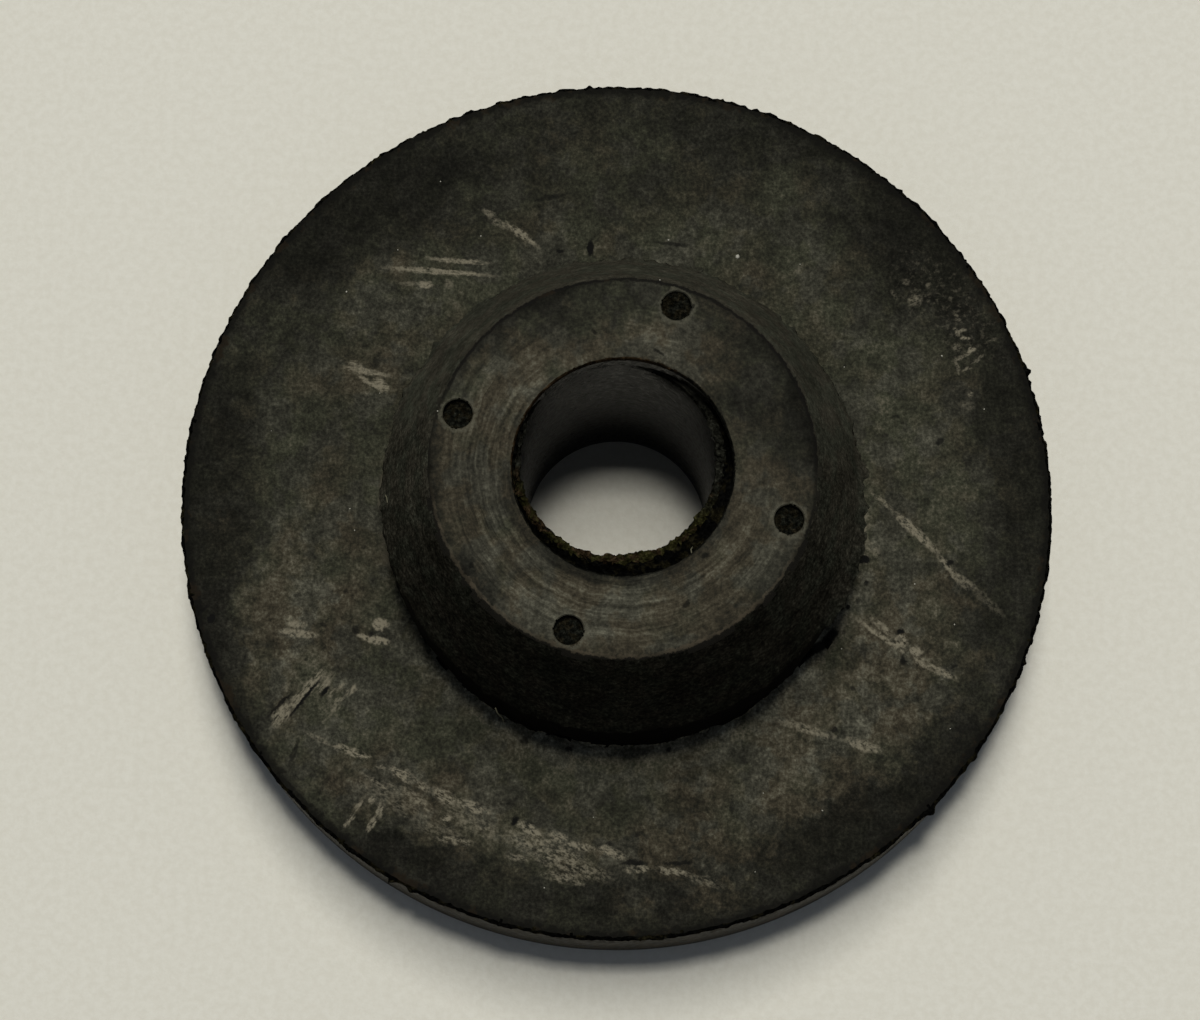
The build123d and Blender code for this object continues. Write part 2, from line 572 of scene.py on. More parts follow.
# Painted light: paler close to the near foot, to lift the shadow that the boss casts there
centre = (boss_shift.x / MM, boss_shift.y / MM)
from_foot = face.away(*centre) - seat_radius / MM
near_side = face.along((0.25, -0.97, 0.0))
tone = tone + face.band(from_foot, 2.1, 0.6, 0.0, 0.027) * face.band(near_side, -1.0, 8.0)
tone = tone + face.band(from_foot, 1.2, 0.5, 0.0, 0.032) * face.band(near_side, 7.0, 11.5)
clouds = face.grain(2.6, seed=2.0)
blots = face.grain(1.1, seed=6.0)
speckle = face.grain(0.55, seed=3.0)
fine = face.grain(0.2, 2.0, 0.7, seed=5.0)
worn = face.zones(strayed, [
    (-18.0, -7.0, 70, 13, 8, 0.6), (-10.0, -18.0, -20, 16, 6, 0.5), (11.0, -15.0, 35, 22, 9, 0.6),
    (-14.0, 8.0, -25, 8, 4, 0.3), (3.5, -22.3, -10, 12, 4, 0.6), (17.0, -7.0, -50, 10, 8, 0.4),
])
mottle = (clouds - 0.5) * 1.1 + ((blots - 0.5) * 1.4 + (speckle - 0.5) * 1.6) * (worn * 0.5 + 0.9)
warm = worn + (face.grain(3.0, 1.5, 0.5, seed=4.0) - 0.5) * 2.4 + mottle * 0.5 + 0.15
colour = bloomed(face, tone.most(0.009), warm, (mottle + (fine - 0.5) * 2.3).exp())
# A tan line of wear along the foot of the boss, on the left and the right
foot_line = face.band(from_foot + (speckle - 0.5) * 0.5, 0.7, 0.5)
foot_line = foot_line * face.band(clouds, 0.46, 0.58) * face.band(near_side, 6.0, 2.0)
colour = face.blend(foot_line * 0.6, colour, (0.068, 0.059, 0.04))
# Scuffs, each x, y, turn, length, width and strength. Most of the beaded diagonals are on the right,
# the level strokes and the hatching on the left, and the dots and dashes on the upper right
close_by = face.strayed(0.36, 0.45, 9.0)
beaded_diagonals = [
    (15.4, 0.5, -38, 1.8, 0.28, 0.5), (17.45, -1.35, -42, 3.3, 0.5, 0.95),
    (19.2, -3.2, -50, 1.4, 0.36, 0.75), (19.9, -4.0, -48, 1.6, 0.38, 0.65),
    (20.5, -4.2, -38, 1.3, 0.25, 0.5), (21.5, -5.2, -43, 2.6, 0.5, 0.2),
    (15.5, -6.95, -38, 1.7, 0.32, 0.75), (15.6, -7.6, -34, 3.3, 0.3, 0.9),
    (16.65, -7.75, 0, 0.7, 0.65, 1.25), (17.5, -8.35, -20, 0.7, 0.55, 1.2),
    (17.9, -9.0, -30, 1.0, 0.45, 0.95), (18.9, -9.5, -22, 1.9, 0.42, 0.85),
    (14.9, -2.3, -45, 1.6, 0.6, 0.35), (14.4, -0.8, 88, 2.6, 0.3, 0.5), (11.2, -13.0, -16, 3.6, 0.5, 0.6),
    (14.5, -13.9, -17, 2.0, 0.6, 0.8), (-6.0, 16.05, -36, 2.3, 0.42, 0.8),
    (-7.3, 16.7, -25, 1.4, 0.42, 0.45), (-8.0, 17.3, -30, 0.8, 0.4, 0.45),
    (-13.5, -7.5, 0, 0.85, 0.68, 1.25), (-13.7, -8.45, -8, 1.35, 0.46, 1.25),
    (-14.3, -8.3, -15, 1.2, 0.25, 0.9), (-18.3, -8.15, -5, 2.2, 0.42, 0.95),
    (-18.3, -7.6, 0, 1.0, 0.44, 0.9),
]
level_strokes = [
    (-10.8, 13.67, -3, 5.8, 0.3, 0.85), (-9.65, 14.35, -3, 3.3, 0.3, 0.8),
    (-11.55, 12.85, 0, 0.8, 0.42, 1.0), (-12.6, 12.9, 0, 1.2, 0.3, 0.35), (-10.2, 12.9, 0, 0.5, 0.5, 0.4),
    (-14.8, 7.5, -12, 2.6, 0.38, 0.75), (-13.95, 6.75, -35, 1.0, 0.5, 1.0),
    (-14.6, 6.8, -30, 1.8, 0.26, 0.8), (-15.5, 7.85, -20, 0.9, 0.5, 0.6),
]
hatching = [
    (-19.0, -12.9, 60, 1.5, 0.85, 0.8), (-17.3, -11.1, 52, 2.0, 0.62, 0.9),
    (-18.1, -12.0, 50, 1.5, 0.6, 0.75), (-16.45, -10.9, 55, 1.1, 0.38, 0.75),
    (-16.8, -11.35, 60, 0.7, 0.22, 0.6), (-15.9, -11.4, 45, 1.2, 0.24, 0.7),
    (-15.0, -11.4, 40, 0.9, 0.4, 0.7), (-15.7, -11.95, 20, 0.7, 0.26, 0.55),
    (-15.9, -12.4, 60, 0.8, 0.36, 0.6), (-18.8, -11.3, 50, 0.6, 0.4, 0.3),
    (-14.35, -18.0, 60, 0.8, 0.26, 0.7), (-13.6, -17.7, 20, 0.5, 0.4, 0.9),
    (-13.15, -18.3, 85, 1.0, 0.3, 0.8), (-13.6, -19.1, 60, 1.0, 0.3, 0.8),
    (-14.85, -18.9, 60, 1.0, 0.28, 0.7),
]
dots_and_dashes = [
    (19.8, 10.75, -60, 0.55, 0.28, 0.8), (20.1, 10.85, 0, 0.4, 0.3, 0.6), (20.3, 10.35, 0, 0.5, 0.24, 1.0),
    (19.75, 9.8, 0, 0.5, 0.5, 0.4), (20.65, 9.65, 25, 0.5, 0.3, 1.4), (20.2, 9.3, 25, 1.3, 0.22, 0.6),
    (21.0, 9.1, 35, 0.9, 0.22, 0.45), (20.4, 8.5, 20, 0.6, 0.22, 0.5), (19.8, 8.7, -75, 1.0, 0.2, 0.45),
    (21.9, 10.3, 20, 1.0, 0.13, 0.35), (20.6, 7.0, 0, 0.35, 0.3, 0.55), (20.4, 6.3, 0, 0.9, 0.5, 0.2),
    (17.3, 12.6, 20, 0.9, 0.7, 0.45), (16.8, 13.7, 0, 0.4, 0.34, 0.3), (18.1, 13.5, 0, 0.4, 0.36, 0.3),
    (16.1, 12.9, -60, 0.7, 0.25, 0.3), (19.8, 11.6, -45, 0.6, 0.28, 0.35),
]
near_band = [
    (-14.9, -14.95, -18, 2.2, 0.45, 1.1), (-13.2, -15.8, -10, 0.7, 0.24, 0.7),
    (-11.9, -16.2, -28, 1.5, 0.65, 1.1), (-10.7, -16.85, -30, 1.1, 0.42, 0.8),
    (-9.5, -17.4, -30, 1.4, 0.7, 1.1), (-7.9, -17.95, -18, 1.8, 0.62, 1.1),
    (-6.95, -18.25, 0, 0.5, 0.35, 0.7), (-13.3, -16.8, -32, 2.2, 0.35, 0.6),
    (-11.0, -17.6, -36, 2.2, 0.5, 0.7), (-12.3, -17.0, -30, 1.2, 0.4, 0.4),
    (-9.3, -18.65, 0, 0.6, 0.3, 0.9), (-8.8, -19.9, -8, 2.0, 0.5, 0.7), (-16.7, -14.3, -25, 1.7, 0.28, 0.5),
    (-7.8, -18.9, -25, 3.6, 1.0, 0.4), (-12.4, -17.6, -25, 4.5, 1.4, 0.32),
    (-9.8, -19.3, -15, 3.0, 0.9, 0.3), (-4.5, -19.2, -32, 1.7, 0.55, 1.15),
    (-2.9, -19.6, -20, 1.1, 0.58, 1.0), (-1.6, -20.1, -12, 1.9, 0.42, 1.0),
    (0.2, -20.4, -22, 1.6, 0.5, 1.05), (-3.4, -20.4, -20, 4.8, 1.2, 0.7),
    (-2.2, -21.2, -15, 4.6, 1.0, 0.55), (-5.2, -20.8, -12, 1.4, 0.42, 0.6),
    (-2.5, -21.9, -10, 2.4, 0.6, 0.6), (1.7, -21.3, 8, 1.4, 0.4, 0.9), (3.7, -21.4, -8, 1.8, 0.42, 0.9),
    (5.6, -21.9, -15, 1.9, 0.5, 0.4),
]
# Each group is broken up by streaks of one turn, length, width and threshold
scuffs = 0.0
for turn, along, across, few, strokes in [
    (-42, 0.38, 0.26, 0.36, beaded_diagonals),
    (-3, 0.8, 0.15, 0.32, level_strokes),
    (54, 0.55, 0.18, 0.36, hatching),
    (22, 0.4, 0.2, 0.36, dots_and_dashes),
    (10, 0.4, 0.34, 0.55, [(19.1, 12.2, -50, 8.0, 4.0, 0.2)]),
    (-24, 0.42, 0.2, 0.42, near_band),
]:
    streaks = face.flecks(turn, along, across, turn * 0.1, few)
    scuffs = (face.marks(close_by, 0.75, strokes) * streaks).most(scuffs)
pale_scuff = (0.168, 0.149, 0.102)
colour = face.blend(scuffs * (fine * 2.7 - 0.2), colour, pale_scuff)
# Grooves, cracks and spots that hold dirt
grooves = face.marks(close_by, 0.5, [
    (-17.7, -11.9, 53, 3.1, 0.22, 1.0), (-19.1, -12.3, 47, 1.9, 0.2, 0.9),
    (-16.55, -11.5, 50, 0.8, 0.28, 1.0), (-18.2, -15.1, 72, 1.7, 0.3, 0.7),
    (-16.4, -16.9, 60, 1.8, 0.26, 0.5), (-4.3, 18.4, 12, 2.1, 0.34, 0.6), (-1.9, 15.3, 86, 1.0, 0.38, 1.1),
    (2.9, 15.7, -6, 2.3, 0.26, 0.7), (14.45, -3.0, 5, 0.8, 0.5, 1.2), (13.55, -5.85, 20, 0.36, 0.28, 1.0),
    (14.6, -4.4, 60, 0.3, 0.2, 0.7), (12.5, -7.6, 42, 1.3, 0.55, 1.3), (11.9, -8.2, 30, 1.1, 0.6, 1.3),
    (11.2, -8.7, 40, 1.6, 0.5, 1.1), (1.5, -20.95, 0, 1.5, 0.3, 0.9), (4.0, -20.9, 3, 1.7, 0.24, 0.8),
    (-5.4, -18.7, 50, 0.6, 0.36, 1.0), (-1.3, -19.1, 50, 0.8, 0.2, 0.5), (0.0, -19.9, 30, 0.35, 0.25, 0.7),
    (1.7, -19.3, 30, 0.6, 0.28, 0.6), (5.0, -17.3, 0, 1.1, 0.45, 0.35), (7.0, -17.6, -85, 0.9, 0.25, 0.6),
    (-5.0, -14.1, 0, 0.5, 0.4, 0.7), (-2.4, -14.5, -20, 0.4, 0.3, 0.8), (3.3, -14.4, 20, 0.35, 0.25, 0.9),
    (-14.9, -7.9, 60, 0.6, 0.45, 0.6), (-16.8, -7.6, -10, 0.5, 0.18, 0.7), (-13.9, -8.05, 0, 0.5, 0.2, 0.6),
    (-18.4, -5.9, 10, 0.5, 0.26, 0.5), (-15.6, -5.6, 0, 0.3, 0.24, 0.7), (16.6, -7.2, 20, 0.5, 0.36, 1.0),
    (16.75, -8.9, -80, 0.6, 0.34, 0.9), (19.45, -3.1, 20, 0.4, 0.3, 0.9), (17.1, -1.65, 0, 0.25, 0.2, 0.8),
    (19.7, -9.2, 30, 0.6, 0.14, 0.7), (12.8, -13.0, 0, 0.45, 0.35, 0.8), (-23.3, -7.4, 70, 0.55, 0.4, 1.5),
    (-23.8, -6.9, 40, 1.0, 0.2, 0.7), (13.9, -10.6, 0, 0.3, 0.3, 0.7), (-14.4, 7.9, 20, 0.7, 0.4, 0.5),
    (-15.1, 9.1, 0, 0.6, 0.32, 0.55), (-13.1, 9.7, 0, 0.6, 0.35, 0.5), (-10.1, 10.8, 0, 0.6, 0.3, 0.45),
    (-11.8, 14.7, 0, 0.4, 0.4, 0.45), (-3.7, 15.1, -10, 0.4, 0.26, 0.9), (18.0, 0.3, 85, 1.3, 0.35, 0.35),
    (18.8, 4.1, 30, 0.6, 0.35, 0.8), (15.6, 4.4, 40, 0.4, 0.3, 0.6), (17.2, 6.0, 0, 0.36, 0.3, 0.5),
    (16.2, 5.5, 10, 0.5, 0.25, 0.5), (20.3, -13.2, 45, 2.0, 1.3, 0.4),
])
colour = face.blend(grooves, colour, (0.0045, 0.0044, 0.0038))
pits = face.pinholes(1.15, 0.11, 0.3, 5.0) * 0.65
pits = pits.most(face.pinholes(2.1, 0.17, 0.26, 2.0) * 0.8)
colour = face.blend(pits, colour, (0.005, 0.005, 0.004))
# Dark at the rim, with some rust
past_rim = face.away(0.0, 0.0) - flange_radius / MM + (speckle - 0.5) * 1.2 + (fine - 0.5) * 0.6
rim = face.band(past_rim, -0.7, -0.4)
rust = face.band(clouds * 0.6 + blots * 0.4, 0.54, 0.6)
rim_colour = face.blend(rust, (0.004, 0.0038, 0.003), (0.0105, 0.0074, 0.0042))
colour = face.blend(rim * 0.85, colour, rim_colour)
relief = clouds * 0.5 + speckle * 0.4 + fine * 0.2
flange_face = face.close(colour, relief, 0.16, 0.75, 0.03)

# Crown of the boss: smoother, tan, and swirled by a nut or a thumb round the hole
face = Finish("swirled_crown", "2D")
strayed = face.strayed(2.4, 2.0, 11.0)
out = face.away(*centre)
past_edge = out - (nose_radius - nose_rounding) / MM
tone = 0.0335 - face.band(past_edge, -0.8, 0.4, 0.0, 0.014) + face.zones(strayed, [
    (-4.2, 4.4, 40, 5, 3, 0.012), (-1.2, 8.1, 0, 8, 3, -0.008), (3.6, 6.2, -35, 6, 3, 0.011),
    (7.2, 4.2, -48, 11, 5, -0.017), (6.6, 1.5, -80, 4, 2.4, -0.006), (9.8, 0.6, -85, 8, 2.2, -0.008),
    (-2.0, -8.6, 8, 11, 3.5, 0.009), (-10.2, -2.0, 80, 8, 1.6, -0.01), (6.0, -8.6, 35, 6, 3, -0.003),
    (-5.4, -6.6, -40, 6, 3, 0.006), (-6.5, 3.6, 60, 3, 3, 0.008), (1.1, 7.0, 0, 3, 2, 0.008),
    (-5.6, 7.2, 40, 7, 3, -0.009), (-8.0, -4.8, -60, 6, 2.6, -0.007), (7.2, -4.0, 60, 6, 3, 0.005),
    (0.5, -6.6, 0, 9, 1.6, -0.004), (-8.0, 0.5, 90, 8, 4, 0.001), (1.0, -8.8, 0, 9, 3, 0.004),
    (-0.5, 8.6, 0, 12, 3, -0.006), (4.8, -6.4, 40, 5, 2, 0.007), (-3.6, 6.1, 30, 3, 3, -0.007),
    (-7.2, -7.0, -45, 4, 2, -0.01), (-6.3, -3.2, -70, 3, 2, 0.005),
])
clouds = face.grain(2.0, seed=12.0)
blots = face.grain(0.9, seed=17.0)
speckle = face.grain(0.5, seed=13.0)
fine = face.grain(0.2, 2.0, 0.7, seed=15.0)
behind = face.along((0.15, 0.99, 0.0))
# Painted shade: the crown is darker towards the mouth's near lip
lip = face.band(out - mouth_radius / MM, 1.05, 0.15, 0.0, 0.02)
tone = (tone - lip * face.band(behind, -1.0, -5.0)).most(0.006)
swirl = face.turned_grain(*centre, 1.7, (out + (clouds - 0.5) * 0.4) * 4.0, 16.0)
swirled_side = face.along((-0.55, -0.83, 0.0)) + (blots - 0.5) * 6.0
swirl_share = face.band(swirled_side, -5.0, 3.0, 0.35, 1.0) * face.band(past_edge, -0.1, -1.1)
mottle = (clouds - 0.5) * 0.9 + ((blots - 0.5) * 1.2 + (speckle - 0.5) * 1.6) * (1.05 - swirl_share * 0.35)
warm = face.zones(strayed, [
    (-1.5, 8.4, 0, 14, 3.6, -1.0), (7.6, 3.6, -60, 9, 4.5, -0.9), (-9.0, 3.6, 60, 5, 3, -0.4),
    (3.8, 6.0, -35, 6, 3, 0.7),
]) + (face.grain(2.6, 1.5, 0.5, seed=14.0) - 0.5) * 3.0 + mottle * 0.5 + 0.95
detail = (mottle + (fine - 0.5) * 1.8 + (swirl - 0.5) * 2.9 * swirl_share).exp()
colour = bloomed(face, tone, warm, detail)
# Worn rings round the gate marks, closest to them on the far left
worn_rings = 0.0
for gate in gates:
    gap = face.away(gate.x / MM + 0.05, gate.y / MM - 0.05) - gate_radius / MM + (speckle - 0.5) * 0.9
    worn_rings = (face.band(gap, -0.1, 0.02) * face.band(gap, 0.3, 0.08)).most(worn_rings)
colour = face.blend(worn_rings * (0.15 + fine * 0.7), colour, (0.085, 0.08, 0.055))
# The crown's edge: a thin dark crack round the far side, with some rust at the back, and a pale
# worn line along the near side. Past it the colour is the tapered side's, with its painted shade
ragged = past_edge + (speckle - 0.5) * 0.35 + (fine - 0.5) * 0.2
edge_line = face.band(ragged, 0.02, 0.1) * face.band(behind, -2.5, 3.5)
rust = face.band(blots, 0.5, 0.6)
at_back = face.patch(face.place, -2.6, 9.6, 15, 4.4, 2.4)
line_colour = face.blend(rust * at_back, (0.0048, 0.0044, 0.0036), (0.0122, 0.0088, 0.0052))
colour = face.blend(edge_line * 0.9, colour, line_colour)
worn_line = face.band(ragged, -0.04, 0.04) * face.band(behind, -2.5, -6.0)
colour = face.blend(worn_line * (0.4 + rust * 0.4), colour, (0.052, 0.042, 0.027))
# Painted shade: the tapered side's colour is dark on the near side and paler at the back
side = face.blend(face.band(behind, -3.0, 6.0), (0.0065, 0.006, 0.0047), (0.0235, 0.0215, 0.0145))
past = ragged - face.band(behind, -2.0, 3.0, 0.0, 0.08)
colour = face.blend(face.band(past, 0.14, 0.22) * 0.95, colour, side)
nicks = face.marks(face.strayed(0.3, 0.4, 19.0), 0.5, [
    (-1.45, 6.85, -30, 0.4, 0.22, 0.8), (4.9, -5.5, 20, 0.5, 0.28, 0.8), (3.9, -8.2, 60, 0.6, 0.3, 0.8),
    (9.6, 4.6, 80, 1.0, 0.25, 0.8), (-7.8, -6.3, 70, 0.5, 0.3, 0.8), (2.1, 5.8, -30, 0.8, 0.2, 0.8),
])
nicks = nicks.most(face.pinholes(2.4, 0.14, 0.2, 12.0) * 0.7)
colour = face.blend(nicks, colour, (0.004, 0.004, 0.003))
relief = clouds * 0.4 + speckle * 0.3 + fine * 0.2 + swirl * swirl_share * 0.8
crown_face = face.close(colour, relief, 0.12, 0.7, 0.03)

# Tapered side of the boss: painted shade makes it black on the near side, and painted light greys it
# towards the far side. Faint lines run round it, as the mould was turned
face = Finish("moulded_side")
clouds = face.grain(2.2, seed=22.0)
speckle = face.grain(0.5, seed=23.0)
fine = face.grain(0.2, 2.0, 0.7, seed=25.0)
lines = face.turned_grain(*centre, 2.2, face.along((0.0, 0.0, 1.6)), 26.0)
across = face.along((0.1, 1.0, 0.0)) + (clouds - 0.5) * 6.0
# The speckle is calmer towards the back. Painted shade darkens the rubber on the near side and painted
# light makes it paler at the back; it is paler on the left as well
calm = face.band(across, -4.0, 6.0, 1.0, 0.5)
detail = (clouds - 0.5) * 1.5 + ((speckle - 0.5) * 2.7 + (fine - 0.5) * 4.0 + (lines - 0.5) * 1.1) * calm
detail = detail.exp() * face.band(across, -12.0, 8.0, 0.48, 2.16)
to_left = face.along((-1.0, 0.0, 0.0)) + (clouds - 0.5) * 5.0
detail = detail * face.band(to_left, 7.5, 11.0, 1.0, 1.3)
olive = face.band(face.grain(1.6, 2.0, 0.5, seed=24.0), 0.6, 0.4)
colour = face.blend(olive, (0.014, 0.0129, 0.0092), (0.013, 0.0132, 0.0093))
colour = face.scaled(colour, detail)
side_face = face.close(colour, clouds * 0.4 + speckle * 0.4 + fine * 0.2, 0.07, 0.85, 0.002)

# Upright seat below it: unworn, with painted shade that makes it near black on the near side. It is greyer
# round the sides and back, and in specks along its top edge
face = Finish("moulded_seat")
speckle = face.grain(0.5, 3.0, 0.65, seed=27.0)
high_up = face.band(face.along((0.0, 0.0, 1.0)), seat_top / MM - 0.7, seat_top / MM - 0.1)
behind = face.band(face.along((0.0, 1.0, 0.0)), -11.0, -4.0)
greyed = (high_up * speckle).most(behind * 0.75)
colour = face.blend(greyed, (0.0026, 0.0024, 0.002), (0.012, 0.0112, 0.0083))
seat_face = face.close(face.scaled(colour, speckle * 2.0), speckle, 0.05, 0.85, 0.002)

# Moulded wall of the flange: smooth, so it shines at a shallow angle, with a warm dust on it
face = Finish("moulded_wall")
clouds = face.grain(1.3, seed=32.0)
speckle = face.grain(0.4, 3.0, 0.65, seed=33.0)
bare = face.band(clouds, 0.38, 0.62)
colour = face.blend(bare, (0.0215, 0.0182, 0.0125), (0.0105, 0.0094, 0.0068))
colour = face.speckled(colour, speckle, 4.5)
# Painted shade: darker along the wall's lower edge, where it meets the paper
painted_foot_shade = face.band(face.along((0.0, 0.0, 1.0)) + (speckle - 0.5) * 1.6, 0.9, 0.3)
colour = face.blend(painted_foot_shade * 0.8, colour, (0.006, 0.005, 0.004))
relief = clouds * 0.5 + speckle * 0.5
roughness = face.band(speckle, 0.35, 0.65, 0.46, 0.66)
wall_face = face.close(colour, relief, 0.04, roughness, 0.037, (1.0, 0.93, 0.8))

# Wall of the bolt hole: polished by the core pin, with a few nicks
face = Finish("bolt_hole_wall")
clouds = face.grain(2.4, seed=36.0)
speckle = face.grain(0.4, 3.0, 0.65, seed=37.0)
nicks = face.band(face.grain(0.8, 2.0, 0.5, seed=38.0), 0.66, 0.7)
colour = face.blend(nicks, (0.0034, 0.0033, 0.0026), (0.0004, 0.0004, 0.0003))
right = face.band(face.along((1.0, 0.2, 0.0)) + (clouds - 0.5) * 6.0, 3.0, 5.5)
colour = face.blend(right * 0.7, colour, (0.0064, 0.0062, 0.0043))
colour = face.speckled(colour, speckle, 6.0)
relief = clouds * 0.4 + speckle * 0.5 - nicks
roughness = face.band(speckle, 0.35, 0.65, 0.26, 0.42)
bore_face = face.close(colour, relief, 0.035, roughness, 0.045, (0.965, 0.99, 0.8))

# Top of the mouth's wall: grey like the hole's, with rust-brown dirt round its far left
face = Finish("mouth_wall")
speckle = face.grain(0.5, 3.0, 0.65, seed=39.0)
rusty = face.band(face.along((-0.6, 0.8, 0.0)) + (speckle - 0.5) * 8.0, 1.0, 4.0)
colour = face.blend(rusty, (0.004, 0.004, 0.003), (0.015, 0.0095, 0.0045))
colour = face.speckled(colour, speckle, 6.0)
mouth_face = face.close(colour, speckle, 0.15, 0.7, 0.01)

# Torn rubber: fresh black, with olive and rust-brown dirt where it has lain open
face = Finish("torn_rubber")
clouds = face.grain(0.9, seed=42.0)
speckle = face.grain(0.25, 3.0, 0.7, seed=43.0)
dirt = face.band(clouds, 0.5, 0.62)
colour = face.blend(dirt, (0.0018, 0.0018, 0.0015), (0.0075, 0.0065, 0.0032))
colour = face.speckled(colour, speckle, 6.0)
torn_face = face.close(colour, clouds * 0.5 + speckle * 0.5, 0.25, 0.9, 0.002)

# The web's stub under the mouth: olive and brown on the near side, dark green-grey elsewhere
face = Finish("torn_ledge")
clouds = face.grain(0.8, seed=52.0)
speckle = face.grain(0.25, 3.0, 0.7, seed=53.0)
brown = face.band(clouds, 0.46, 0.56)
colour = face.blend(brown, (0.014, 0.0132, 0.0044), (0.018, 0.012, 0.006))
near_side = face.band(face.along((-0.1, -1.0, 0.0)) + (clouds - 0.5) * 5.0, 0.5, 2.6)
colour = face.blend(near_side, (0.0092, 0.0092, 0.0066), colour)
colour = face.speckled(colour, speckle, 7.0)
ledge_face = face.close(colour, clouds * 0.5 + speckle * 0.5, 0.25, 0.9, 0.003)

# Floors of the gate marks: torn, but greyed with dirt
face = Finish("gate_floor")
clouds = face.grain(0.5, seed=56.0)
speckle = face.grain(0.2, 3.0, 0.7, seed=57.0)
dirt = face.band(clouds, 0.44, 0.58)
colour = face.blend(dirt, (0.005, 0.0052, 0.0038), (0.0076, 0.0065, 0.0037))
colour = face.speckled(colour, speckle, 7.0)
gate_face = face.close(colour, clouds * 0.5 + speckle * 0.5, 0.2, 0.9, 0.004)

finishes = [flange_face, crown_face, side_face, seat_face, wall_face, bore_face, mouth_face,
            torn_face, ledge_face, gate_face]
for finish in finishes:
    body.data.materials.append(finish)
# Each face takes its finish from where its middle lies
for polygon in body.data.polygons:
    middle = polygon.center
    boss_reach = boss_distance(middle)
    reach = middle.xy.length
    in_gate = min((middle.xy - gate).length for gate in gates) < gate_radius * 1.06
    finish = side_face
    if in_gate and top_height - 1.0 * MM < middle.z < top_height - 0.03 * MM:
        finish = gate_face
    elif middle.z > top_height - 0.28 * MM and boss_reach > mouth_radius + 0.08 * MM:
        finish = crown_face
    elif middle.z > mouth_floor + 0.25 * MM and boss_reach < mouth_radius + 0.2 * MM:
        finish = mouth_face if middle.z > top_height - 0.35 * MM else bore_face
    elif (middle.z > mouth_floor - 0.5 * MM and boss_reach < mouth_radius + 0.1 * MM
          and reach > bore_radius - 0.4 * MM):
        below_ledge = middle.z < mouth_floor - 0.2 * MM and reach < bore_radius + 0.1 * MM
        finish = ledge_face if reach < bore_radius + 0.45 * MM else torn_face
        if below_ledge or far_side(middle) > 0.55:
            finish = bore_face
    elif reach < bore_radius + 0.1 * MM:
        finish = bore_face
    elif reach > flange_radius - 0.6 * MM and middle.z < flange_height - 0.42 * MM:
        finish = wall_face
    elif reach > flange_radius - 0.24 * MM:
        finish = torn_face
    elif abs(middle.z - flange_height) < 0.35 * MM and boss_reach > seat_radius - 0.02 * MM:
        finish = flange_face
    elif middle.z < seat_top - 0.1 * MM and middle.z > flange_height - 0.5 * MM:
        finish = seat_face
    polygon.material_index = finishes.index(finish)


# ----------------------------------------------------------------
# Dust and lint that lie on the rubber: pale grit, and three short fibres.
# Nothing fixes them. They are kept because the part is shown as found.
# ----------------------------------------------------------------
random.seed(7)
crown_dust = [
    (-7.1, 6.3), (-5.2, 7.7), (-6.5, 3.6), (-9.9, 2.2), (-0.1, 8.0), (7.3, 6.4), (2.1, 9.9), (7.0, -8.6),
    (5.0, -9.9), (-3.1, -8.9), (9.0, -5.2),
]
flange_dust = [
    (13.2, -8.3), (-0.9, -18.4), (12.2, -17.7), (-8.4, 15.9), (21.4, 6.1), (-10.9, 19.2), (17.4, -4.4),
    (-15.2, -2.0), (8.4, -21.3), (-20.3, 3.8), (19.5, -12.8), (-3.6, -22.5),
]
while len(flange_dust) < 22:
    away = random.uniform(15.0, 24.3)
    angle = random.uniform(0.0, math.tau)
    flange_dust.append((away * math.cos(angle), away * math.sin(angle)))
grit = []
# Three chips are larger: their place, then their size and height
chips = {
    (6.8, 15.0): (0.15, flange_height), (13.25, -5.2): (0.15, seat_top), (12.8, -6.2): (0.08, seat_top),
}
for x, y in crown_dust + flange_dust + list(chips):
    size = random.uniform(0.03, 0.055)
    height = top_height - 0.06 * MM if (x, y) in crown_dust else flange_height
    if (x, y) in chips:
        size, height = chips[x, y]
    bpy.ops.object.select_all(action="DESELECT")
    bpy.ops.mesh.primitive_ico_sphere_add(
        subdivisions=1, radius=size * MM, location=(x * MM, y * MM, height),
        scale=(1.0, random.uniform(0.6, 1.5), 0.9), rotation=(0, 0, random.uniform(0, 3)),
    )
    bpy.ops.object.transform_apply(location=True, rotation=True, scale=True)
    grit.append(bpy.context.object)
dust = join_up(grit)
dust.name = "dust"
uneven = dust.modifiers.new("uneven", "DISPLACE")
uneven.texture = bpy.data.textures.new("grit", "CLOUDS")
uneven.texture.noise_scale = 0.05 * MM
uneven.texture_coords = "LOCAL"
uneven.strength = 0.03 * MM
bpy.ops.object.modifier_apply(modifier="uneven")
bpy.ops.object.shade_smooth()
face = Finish("pale_dust")
cloud = face.grain(0.08, 2.0, 0.6, seed=60.0)
colour = face.blend(cloud, (0.2, 0.19, 0.14), (0.52, 0.5, 0.42))
dust.data.materials.append(face.close(colour, cloud, 0.01, 0.8, 0.3))
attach(dust, "root")

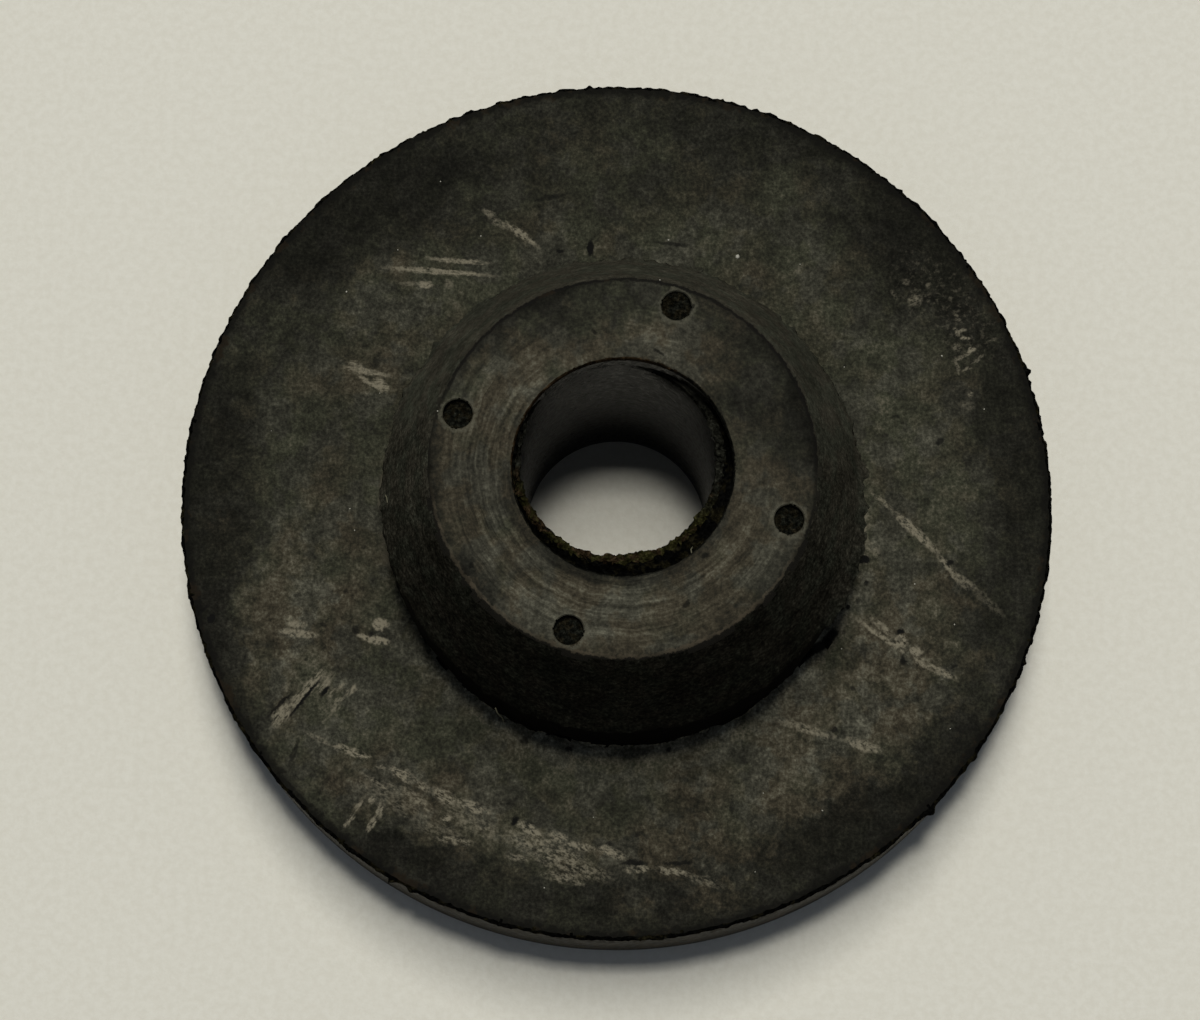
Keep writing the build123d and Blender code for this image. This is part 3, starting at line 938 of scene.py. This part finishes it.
strands = []
for path in [
    [(4.2, -4.9, 20.6), (4.1, -5.1, 20.9), (4.15, -5.4, 21.1), (4.0, -5.75, 21.2)],
    [(-6.55, -12.85, 12.4), (-6.45, -12.98, 11.2), (-6.27, -12.95, 9.4), (-6.15, -13.1, 8.2)],
    [(-13.0, -1.3, 15.1), (-12.9, -1.5, 15.3), (-12.85, -1.8, 15.4)],
]:
    points = [Vector(spot) * MM for spot in path]
    bpy.ops.object.select_all(action="DESELECT")
    bpy.ops.mesh.primitive_circle_add(
        vertices=8, radius=0.035 * MM, fill_type="NGON", location=points[0],
        rotation=(points[1] - points[0]).to_track_quat("Z", "Y").to_euler(),
    )
    strand = bpy.context.object
    bpy.ops.object.transform_apply(location=True, rotation=True, scale=True)
    bpy.ops.object.mode_set(mode="EDIT")
    bpy.ops.mesh.select_all(action="SELECT")
    for before, after in zip(points, points[1:]):
        bpy.ops.mesh.extrude_region_move(TRANSFORM_OT_translate={"value": after - before})
    bpy.ops.object.mode_set(mode="OBJECT")
    face_outwards()
    strands.append(strand)
lint = join_up(strands)
lint.name = "lint"
bpy.ops.object.shade_smooth()
face = Finish("pale_lint")
cloud = face.grain(0.3, 2.0, 0.6, seed=70.0)
colour = face.blend(cloud, (0.05, 0.047, 0.028), (0.15, 0.14, 0.085))
lint.data.materials.append(face.close(colour, cloud, 0.01, 0.8, 0.3))
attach(lint, "root")


# ----------------------------------------------------------------
# Setting: a sheet of warm white paper, a soft lamp overhead, and a long strip lamp behind it.
# A weak bluish light fills the shadows, and shiny rubber mirrors a plain pale backdrop.
# ----------------------------------------------------------------
bpy.ops.object.select_all(action="DESELECT")
bpy.ops.mesh.primitive_plane_add(size=3.0)
paper = bpy.context.object
paper.name = "paper"
face = Finish("paper")
fibres = face.grain(0.5, 4.0, 0.7, seed=80.0)
colour = face.blend(face.band(fibres, 0.3, 0.7), (0.633, 0.607, 0.508), (0.678, 0.656, 0.558))
paper.data.materials.append(face.close(colour, fibres, 0.02, 0.9, 0.25))


def lamp(name, tilt, distance, size, size_y, share):
    """A soft area lamp, tilted this many degrees from overhead towards the back."""
    bpy.ops.object.light_add(type="AREA")
    thing = bpy.context.object
    thing.name = name
    thing.data.shape = "RECTANGLE"
    thing.data.size = size
    thing.data.size_y = size_y
    thing.data.energy = share * math.pi ** 2 * distance ** 2
    thing.data.color = (1.0, 0.995, 0.985)
    back = math.radians(tilt)
    thing.location = Vector((0.0, math.sin(back), math.cos(back))) * distance
    thing.rotation_euler = (-back, 0.0, 0.0)


lamp("key", 7, 1.2, 0.12, 0.12, 0.34)
lamp("strip", 20, 1.5, 0.3, 0.65, 0.56)

world = bpy.data.worlds.new("studio")
bpy.context.scene.world = world
world.use_nodes = True
world.node_tree.nodes.clear()


def world_node(kind, inputs, **settings):
    """Adds a node to the room's light, and gives its outputs."""
    node = world.node_tree.nodes.new("ShaderNode" + kind)
    for name, value in settings.items():
        setattr(node, name, value)
    for name, value in inputs.items():
        if isinstance(value, bpy.types.NodeSocket):
            world.node_tree.links.new(value, node.inputs[name])
        else:
            node.inputs[name].default_value = value
    return node.outputs


rays = world_node("LightPath", {})
seen = world_node("Math", {0: rays["Is Camera Ray"], 1: rays["Is Glossy Ray"]}, operation="ADD")
seen = world_node("Math", {0: seen[0], 1: rays["Is Transmission Ray"]}, operation="ADD", use_clamp=True)
ambient = world_node("Background", {"Color": (0.8, 0.92, 1.18, 1.0), "Strength": 0.12})
backdrop = world_node("Background", {"Color": (0.97, 0.96, 0.92, 1.0), "Strength": 0.62})
mixed = world_node("MixShader", {0: seen[0], 1: ambient[0], 2: backdrop[0]})
world_node("OutputWorld", {"Surface": mixed[0]})

bpy.context.scene.view_settings.view_transform = "Standard"

# The camera looks down steeply from the near side
elevation = math.radians(78.59)
camera_distance = 203.2 * MM
aim = Vector((-0.955, -0.457, 8.0)) * MM
bpy.ops.object.camera_add()
camera = bpy.context.object
camera.data.lens = 104.6
camera.data.sensor_width = 36.0
camera.location = Vector((0.0, -math.cos(elevation), math.sin(elevation))) * camera_distance
camera.location.z += flange_height
camera.rotation_mode = "QUATERNION"
camera.rotation_quaternion = (camera.location - aim).to_track_quat("Z", "Y")
bpy.context.scene.camera = camera
